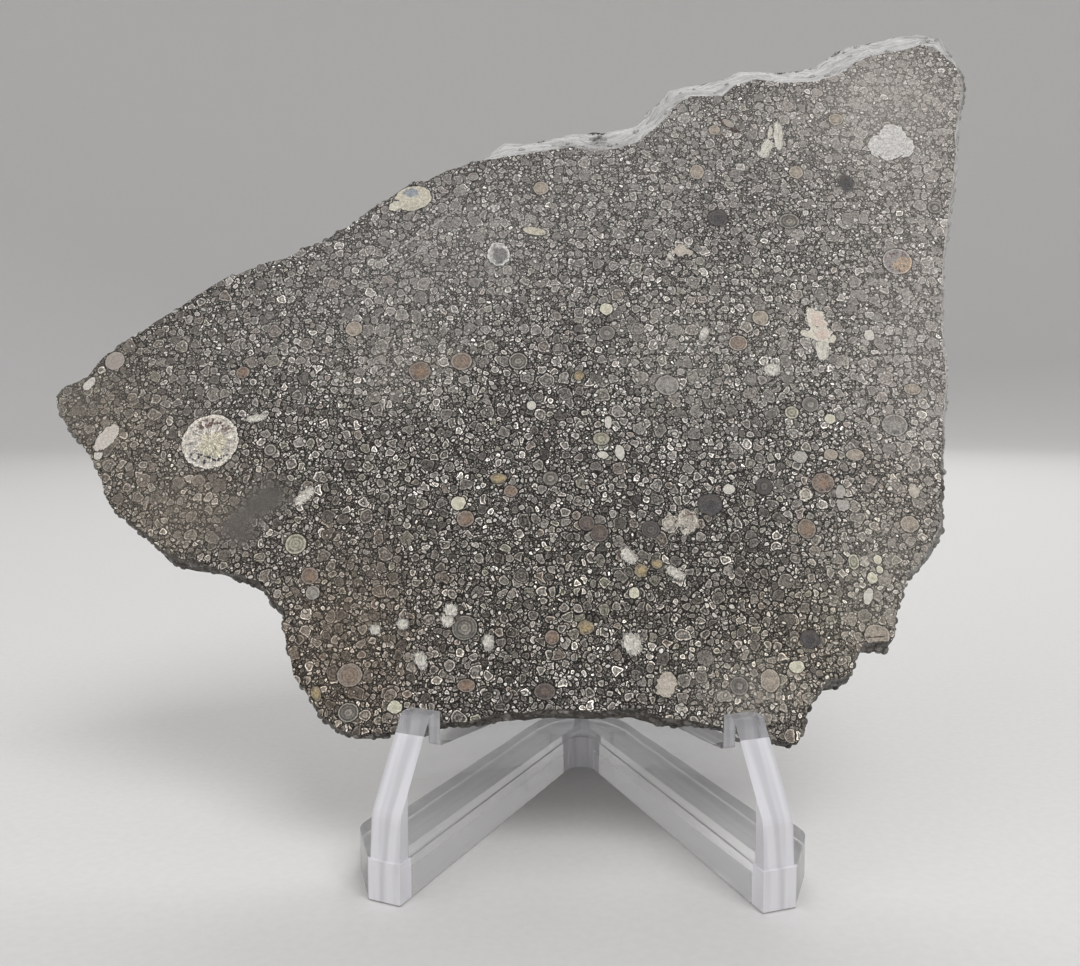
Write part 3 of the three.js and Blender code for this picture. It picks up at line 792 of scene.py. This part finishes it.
def darkFlecks(tree, place, away, localY, specks):
    # Dark grit gathers in a band between the core and the rim, most at the foot and the head.
    flecks = cells(tree, vector(tree, "MULTIPLY", place, (2.6, 2.6, 0)), randomness=1.0)
    drawn, spread = parts(tree, flecks.outputs["Color"], "Color")[:2]
    reach = times(tree, spread, 0.5, plus=0.25)
    fleck = smooth(tree, minus(tree, reach, flecks.outputs["Distance"]), -0.1, 0.1)
    fleck = times(tree, fleck, number(tree, "LESS_THAN", drawn, 0.55))
    band = times(tree, smooth(tree, away, 0.35, 0.6), smooth(tree, away, 0.92, 0.8))
    ends = smooth(tree, number(tree, "ABSOLUTE", localY), 0.1, 0.6, 0.15, 1.0)
    fleck = times(tree, times(tree, fleck, band), times(tree, ends, specks))
    foot, head = sawn["fleckTones"]
    return fleck, blend(tree, smooth(tree, localY, -0.2, 0.2), paint(*foot), paint(*head))


def placedGrains(tree, place, grit, clear, under):
    spot = attribute(tree, "grainPlace")["Vector"]
    shift = attribute(tree, "grainShift")["Vector"]
    body = attribute(tree, "grainBody")
    core = attribute(tree, "grainCore")
    make = attribute(tree, "grainMake")
    localX, localY, size = parts(tree, spot)
    rimGain, rimWidth, specks = parts(tree, make["Vector"])
    lengthwise = parts(tree, shift)[2]
    away = vector(tree, "LENGTH", vector(tree, "MULTIPLY", spot, (1, 1, 0)))
    # Outlines are torn at random, or along the grain where it is fibrous.
    fibres = vector(tree, "SUBTRACT", vector(tree, "MULTIPLY", spot, (2.5, 0.7, 0)), place)
    tearPlace = vector(tree, "ADD", place, vector(tree, "SCALE", fibres, lengthwise))
    tear = minus(tree, cloud(tree, tearPlace, 1.3, 3.0, roughness=0.65), 0.5)
    away = number(tree, "ADD", away, times(tree, times(tree, tear, body["Alpha"]), 3.2))
    depth = times(tree, minus(tree, 1.0, away), size)
    halo = times(tree, smooth(tree, depth, -0.24, -0.05, 0.0, 0.95), clear)
    inside = smooth(tree, depth, 0.0, 0.06)
    coreSpot = vector(tree, "MULTIPLY", vector(tree, "SUBTRACT", spot, shift), (1, 1, 0))
    coreEdge = times(tree, tear, 0.6, plus=vector(tree, "LENGTH", coreSpot))
    inCore = smooth(tree, minus(tree, core["Alpha"], coreEdge), -0.1, 0.1)
    tone = blend(tree, inCore, body["Color"], core["Color"])
    inRim = minus(tree, 1.0, smooth(tree, depth, times(tree, rimWidth, 0.6), rimWidth))
    lift = times(tree, inRim, minus(tree, rimGain, 1.0), plus=1.0)
    # Streaks run out from the middle, or along a fibrous grain; rings go round.
    fan = combined(tree, times(tree, number(tree, "ARCTAN2", localY, localX), 5.0), away)
    streak = minus(tree, cloud(tree, fan, 2.0, 1.0), 0.5)
    streak = times(tree, streak, number(tree, "MAXIMUM", make["Alpha"], 0.0))
    streak = times(tree, streak, smooth(tree, away, 0.9, 0.7, 0.0, 2.0))
    split = times(tree, smooth(tree, tear, -0.14, 0.02, -0.5, 0.0), lengthwise)
    hoops = number(tree, "SINE", times(tree, times(tree, away, size), sawn["rings"]))
    hoops = times(tree, hoops, number(tree, "MINIMUM", make["Alpha"], 0.0))
    streak = times(tree, hoops, 0.6, plus=number(tree, "ADD", streak, split))
    coarse = times(tree, specks, 0.5, plus=0.3)
    light = times(tree, times(tree, grit, coarse, plus=1.0), lift)
    light = times(tree, streak, light, plus=light)
    fleck, fleckTone = darkFlecks(tree, place, away, localY, specks)
    lit = blend(tree, fleck, vector(tree, "SCALE", tone, light), fleckTone)
    shaded = blend(tree, halo, under, paint(*sawn["placedGapTone"]))
    return blend(tree, inside, shaded, lit), inside


def drawnLines(tree, place, under):
    # Scratches and cracks: pale or dark lines that waver a little and fade in and out.
    waver = cloud(tree, place, 0.9, 2.0)
    sway = minus(tree, waver, 0.5)
    fade = smooth(tree, waver, 0.3, 0.5, 0.3, 0.9)
    for start, end, width, tone in fineLines:
        along = Vector((end[0] - start[0], end[1] - start[1], 0))
        offset = vector(tree, "SUBTRACT", place, (*start, 0))
        share = vector(tree, "DOT_PRODUCT", offset, tuple(along / along.length_squared))
        share = number(tree, "MINIMUM", number(tree, "MAXIMUM", share, 0.0), 1.0)
        nearest = vector(tree, "SCALE", tuple(along), share)
        gap = vector(tree, "LENGTH", vector(tree, "SUBTRACT", offset, nearest))
        gap = number(tree, "ABSOLUTE", times(tree, sway, 0.5, plus=gap))
        shown = times(tree, smooth(tree, gap, width, width * 0.4), fade)
        under = blend(tree, shown, under, paint(*tone))
    return under


def sawnFace():
    material, tree, shader = newMaterial("sawnFace")
    plane = addNode(tree, "ShaderNodeUVMap", uv_map="sawnPlane").outputs[0]
    drift = vector(tree, "SUBTRACT", cloud(tree, plane, 1.1, 0.0, output=1), (0.5, 0.5, 0.5))
    place = vector(tree, "MULTIPLY_ADD", drift, (sawn["drift"], sawn["drift"], 0), plane)
    fine = smooth(tree, cloud(tree, plane, 4.8, 2.0, roughness=0.75), 0.32, 0.68, -0.46, 0.46)
    mottle = smooth(tree, cloud(tree, plane, 1.9, 1.0, roughness=0.6), 0.34, 0.66, -0.24, 0.24)
    grit = number(tree, "ADD", fine, mottle)
    colour = ramp(tree, cloud(tree, plane, 3.2, 2.0, roughness=0.8), matrixTones)
    raised = 0.0
    for look in grainLayers:
        colour, inside = grainLayer(tree, place, grit, colour, look)
        raised = number(tree, "MAXIMUM", raised, inside)
    # a pale film together with painted sheen and painted light, brighter towards the top and the right
    filmAndSheen = attribute(tree, "filmAndSheen")
    stain = attribute(tree, "stain")
    colour = blend(tree, stain["Alpha"], colour, stain["Color"], "MULTIPLY")
    # The pale film and the painted sheen hide less of the dark gaps between the grains than of the grains
    # themselves.
    thin = times(tree, minus(tree, 1.0, filmAndSheen["Alpha"]), 1.2)
    relief = times(tree, grit, 0.6, plus=minus(tree, raised, 0.7))
    light = times(tree, grit, 0.22, plus=times(tree, relief, thin, plus=1.0))
    colour = blend(tree, filmAndSheen["Alpha"], colour, vector(tree, "SCALE", filmAndSheen["Color"], light))
    clear = times(tree, filmAndSheen["Alpha"], -0.9, plus=1.0)
    colour, inside = placedGrains(tree, plane, grit, clear, colour)
    colour = drawnLines(tree, plane, colour)
    raised = number(tree, "MAXIMUM", raised, inside)
    feed(tree, shader, {
        "Base Color": colour, "Roughness": smooth(tree, raised, 0.0, 1.0, 0.62, 0.48),
        "Specular IOR Level": sawn["gloss"], "Normal": bumped(tree, 0.25, sawn["relief"], raised),
    })
    return material


# Natural edge: dark rough stone with grains in it, under pale layered crust and a painted edge highlight
# where paleCrustAndHighlight says so

rough = {
    "ground": tones((0.3, 40, 37, 35), (0.7, 92, 87, 81)),
    "crustAndHighlight": tones((0.3, 150, 148, 146), (0.5, 196, 195, 193), (0.7, 218, 217, 215)),
    "crustSoil": (128, 124, 120),
    "crustLayers": (0.25, 0.25, 3.2),  # they lie along the sawn faces
    "grains": 1.3,  # in each mm
    "relief": 0.0002,  # metres
}


def naturalEdge():
    material, tree, shader = newMaterial("naturalEdge")
    spot = attribute(tree, "slicePlace")["Vector"]
    pale = attribute(tree, "paleness")["Fac"]
    grain = cells(tree, vector(tree, "MULTIPLY", spot, (rough["grains"],) * 3), dimensions="3D")
    chance = parts(tree, grain.outputs["Color"], "Color")
    tone = ramp(tree, chance[2], middleTones, "CONSTANT")
    inside = smooth(tree, grain.outputs["Distance"], 0.46, 0.36)
    grit = cloud(tree, spot, 2.2, 4.0, dimensions="3D", roughness=0.7)
    dark = blend(tree, times(tree, inside, 0.6), ramp(tree, grit, rough["ground"]), tone)
    layers = vector(tree, "MULTIPLY", spot, rough["crustLayers"])
    # the crust's colours also paint the edge highlight on the lower right
    crustAndHighlight = ramp(tree, cloud(tree, layers, 1.0, 3.0, dimensions="3D"), rough["crustAndHighlight"])
    crustAndHighlight = blend(tree, smooth(tree, grit, 0.52, 0.68, 0.0, 0.55), crustAndHighlight, paint(*rough["crustSoil"]))
    ragged = times(tree, minus(tree, grit, 0.5), 0.9)
    covered = smooth(tree, number(tree, "ADD", pale, ragged), 0.25, 0.75)
    height = number(tree, "ADD", grit, times(tree, inside, 0.3))
    feed(tree, shader, {
        "Base Color": blend(tree, covered, dark, crustAndHighlight), "Roughness": 0.75,
        "Normal": bumped(tree, 0.5, rough["relief"], height),
    })
    return material


slicePiece = showObject("meteoriteSlice", buildSlice())
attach(slicePiece, "root")
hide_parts("meteorite_slab")
print("slice:", len(slicePiece.data.polygons), "faces")

# Grains that stand out of the natural edge, where neither pale crust nor the painted edge highlight
# covers it

edgeGrains = {
    "Density": 0.8e6,  # for each square metre
    "Smallest": 0.18 * mm,
    "Largest": 0.55 * mm,
    "Flatness": 0.7,
    "HiddenByPaleness": 0.96,  # share of the grains that the pale crust and the painted edge highlight hide
    "Seed": 12,
    "margin": 0.06,  # mm, how far they stay behind the sawn faces
    "crustTone": (184, 182, 178),  # of the grains under the pale crust and the painted edge highlight
}


def scatterTree(material):
    tree = bpy.data.node_groups.new("scatteredGrains", "GeometryNodeTree")
    floats = ((name, "Float") for name in ("Density", "Smallest", "Largest", "Flatness", "HiddenByPaleness"))
    for name, kind in (("Geometry", "Geometry"), *floats, ("Seed", "Int")):
        tree.interface.new_socket(name=name, in_out="INPUT", socket_type="NodeSocket" + kind)
    tree.interface.new_socket(name="Geometry", in_out="OUTPUT", socket_type="NodeSocketGeometry")
    given = tree.nodes.new("NodeGroupInput").outputs
    slot = tree.nodes.new("GeometryNodeInputMaterialIndex").outputs[0]
    natural = addNode(tree, "FunctionNodeCompare", {2: slot, 3: 0}, data_type="INT", operation="EQUAL")
    pale = addNode(tree, "GeometryNodeInputNamedAttribute", {"Name": "paleness"}).outputs[0]
    # pale crust and the painted edge highlight both thin out the grains
    bare = minus(tree, 1.0, times(tree, pale, given["HiddenByPaleness"]))
    spread = addNode(tree, "GeometryNodeDistributePointsOnFaces", {
        "Mesh": given["Geometry"], "Selection": natural.outputs[0], "Seed": given["Seed"],
        "Density": times(tree, given["Density"], bare),
    }).outputs
    ball = addNode(tree, "GeometryNodeMeshUVSphere", {"Segments": 8, "Rings": 5, "Radius": 1.0})
    size = addNode(tree, "FunctionNodeRandomValue", {
        2: given["Smallest"], 3: given["Largest"], "Seed": given["Seed"],
    }).outputs[1]
    placed = addNode(tree, "GeometryNodeInstanceOnPoints", {
        "Points": spread["Points"], "Instance": ball.outputs[0], "Rotation": spread["Rotation"],
        "Scale": combined(tree, size, size, times(tree, size, given["Flatness"])),
    }).outputs[0]
    real = addNode(tree, "GeometryNodeRealizeInstances", {0: placed}).outputs[0]
    coated = addNode(tree, "GeometryNodeSetMaterial", {0: real, "Material": material}).outputs[0]
    tree.links.new(coated, tree.nodes.new("NodeGroupOutput").inputs[0])
    return tree


def looseGrain():
    material, tree, shader = newMaterial("edgeGrain")
    spot = attribute(tree, "slicePlace")["Vector"]
    pale = attribute(tree, "paleness")["Fac"]
    chance = addNode(tree, "ShaderNodeTexWhiteNoise", {"Vector": spot}, noise_dimensions="3D")
    tone = ramp(tree, chance.outputs["Value"], middleTones, "CONSTANT")
    # grains under pale crust and under the painted edge highlight turn pale
    tone = blend(tree, smooth(tree, pale, 0.3, 0.8), tone, paint(*edgeGrains["crustTone"]))
    place = addNode(tree, "ShaderNodeTexCoord").outputs["Object"]
    light = smooth(tree, cloud(tree, place, 3000.0, 2.0, dimensions="3D"), 0.3, 0.7, 0.6, 1.1)
    feed(tree, shader, {"Base Color": vector(tree, "SCALE", tone, light), "Roughness": 0.7})
    return material


def buildEdgeGrains(carrier):
    made = showObject("edgeGrains", carrier.data.copy())
    modifier = made.modifiers.new("scatter", "NODES")
    modifier.node_group = scatterTree(looseGrain())
    for item in modifier.node_group.interface.items_tree:
        if item.in_out == "INPUT" and item.name in edgeGrains:
            modifier[item.identifier] = edgeGrains[item.name]
    view = bpy.context.evaluated_depsgraph_get()
    scattered = made.evaluated_get(view)
    data = bpy.data.meshes.new_from_object(scattered, preserve_all_data_layers=True, depsgraph=view)
    made.modifiers.remove(modifier)
    made.data = data
    low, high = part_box("meteorite_slab")
    behind = -edgeGrains["margin"]
    for v in data.vertices:
        at = slabFromRow @ v.co
        at.z = min(max(at.z, -slab["thickness"] - behind), behind)
        at = rowFromSlab @ at
        v.co = [min(max(at[k], low[k]), high[k]) for k in range(3)]
    data.polygons.foreach_set("use_smooth", [True] * len(data.polygons))
    return made


grainPiece = buildEdgeGrains(slicePiece)
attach(grainPiece, "root")
print("grains on the edge:", len(grainPiece.data.polygons), "faces")

# Easel: the clear one-piece stand

easel = {
    "bevel": 0.35,  # mm, as the other lengths are
    "bevelSteps": 3,
    "sharpest": 25.0,  # degrees, corners sharper than this are eased
    "milkyHeight": 17.4,  # up to here the legs' fronts are milky
    "edgeReach": 2.2,  # how far back from the foremost point the milky edge goes
    "rearTop": 25.0,  # above it the supports' upper edges are milky too
    "ior": 1.49,
    "wall": {"tint": (0.95, 0.955, 0.965, 1.0), "clearness": 0.97, "roughness": (0.015, 0.07)},
    "edge": {"tint": (0.96, 0.95, 0.99, 1.0), "clearness": 0.24, "roughness": (0.45, 0.8)},
    "streaks": 0.8,  # how light the tint stays in the milky edges' streaks
    "lanes": (446.0, 182.0, 30.0),  # how fine they are from side to side, from front to back and upward
}


def acrylic(name, look, streaked):
    # Moulded acrylic: clearness is how much light goes straight through, roughness its least and most.
    material, tree, shader = newMaterial(name)
    place = addNode(tree, "ShaderNodeTexCoord").outputs["Object"]
    tint = look["tint"]
    clear = {"Base Color": tint, "IOR": easel["ior"], "Transmission Weight": look["clearness"]}
    feed(tree, shader, clear)
    rub = cloud(tree, place, 160.0, 3.0, dimensions="3D", roughness=0.65)
    if streaked:  # along the walls' edges
        across, deep, up = parts(tree, place)
        low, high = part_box("easel")
        acrossLane, deepLane, upLane = easel["lanes"]
        side = number(tree, "ABSOLUTE", minus(tree, across, (low.x + high.x) / 2))
        lane = times(tree, side, acrossLane, plus=times(tree, deep, deepLane))
        rub = cloud(tree, combined(tree, lane, times(tree, up, upLane)), 1.0, 2.0, roughness=0.55)
        dim = tuple(part * easel["streaks"] for part in tint[:3]) + (1.0,)
        tone = ramp(tree, rub, [(0.34, dim), (0.48, tint), (0.58, tint), (0.72, dim)])
        feed(tree, shader, {"Base Color": tone})
    swell = cloud(tree, place, 70.0, 1.0, dimensions="3D")
    feed(tree, shader, {
        "Roughness": smooth(tree, rub, 0.45, 0.75, *look["roughness"]),
        "Normal": bumped(tree, 0.12, 0.0004, swell),
    })
    return material


def buildEasel():
    bm = bmesh.new()
    bm.from_mesh(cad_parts["easel"].data)
    bmesh.ops.remove_doubles(bm, verts=bm.verts, dist=1e-6)
    flat = math.radians(1.0)
    bmesh.ops.dissolve_limit(bm, angle_limit=flat, verts=bm.verts, edges=bm.edges)
    milkyTop = Vector((0, 0, easel["milkyHeight"] * mm))
    edgeBack = Vector((0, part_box("easel")[0].y + easel["edgeReach"] * mm, 0))
    for cut, way in ((milkyTop, (0, 0, 1)), (edgeBack, (0, 1, 0))):
        everything = [*bm.verts, *bm.edges, *bm.faces]
        bmesh.ops.bisect_plane(bm, geom=everything, dist=1e-6, plane_co=cut, plane_no=way)
    for face in bm.faces:  # the legs' fronts, the feet's inner corners and the rear edges are milky
        middle = face.calc_center_median()
        corner = middle.y < edgeBack.y and face.normal.z > -0.5
        frontal = face.normal.y < -0.55 or corner
        rear = face.normal.y > 0.42 or face.normal.z > 0.3 and middle.z > easel["rearTop"] * mm
        face.material_index = int(frontal and middle.z < milkyTop.z or rear)
    data = bpy.data.meshes.new("easelClear")
    bm.to_mesh(data)
    bm.free()
    data.materials.append(acrylic("clearAcrylic", easel["wall"], False))
    data.materials.append(acrylic("milkyEdge", easel["edge"], True))
    made = showObject("easelClear", data)
    bevel = made.modifiers.new("easedCorners", "BEVEL")
    bevel.width = easel["bevel"] * mm
    bevel.segments = easel["bevelSteps"]
    bevel.limit_method = "ANGLE"
    bevel.angle_limit = math.radians(easel["sharpest"])
    return made


clearEasel = buildEasel()
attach(clearEasel, "root")
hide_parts("easel")
print("easel:", len(clearEasel.data.polygons), "faces before its corners are eased")
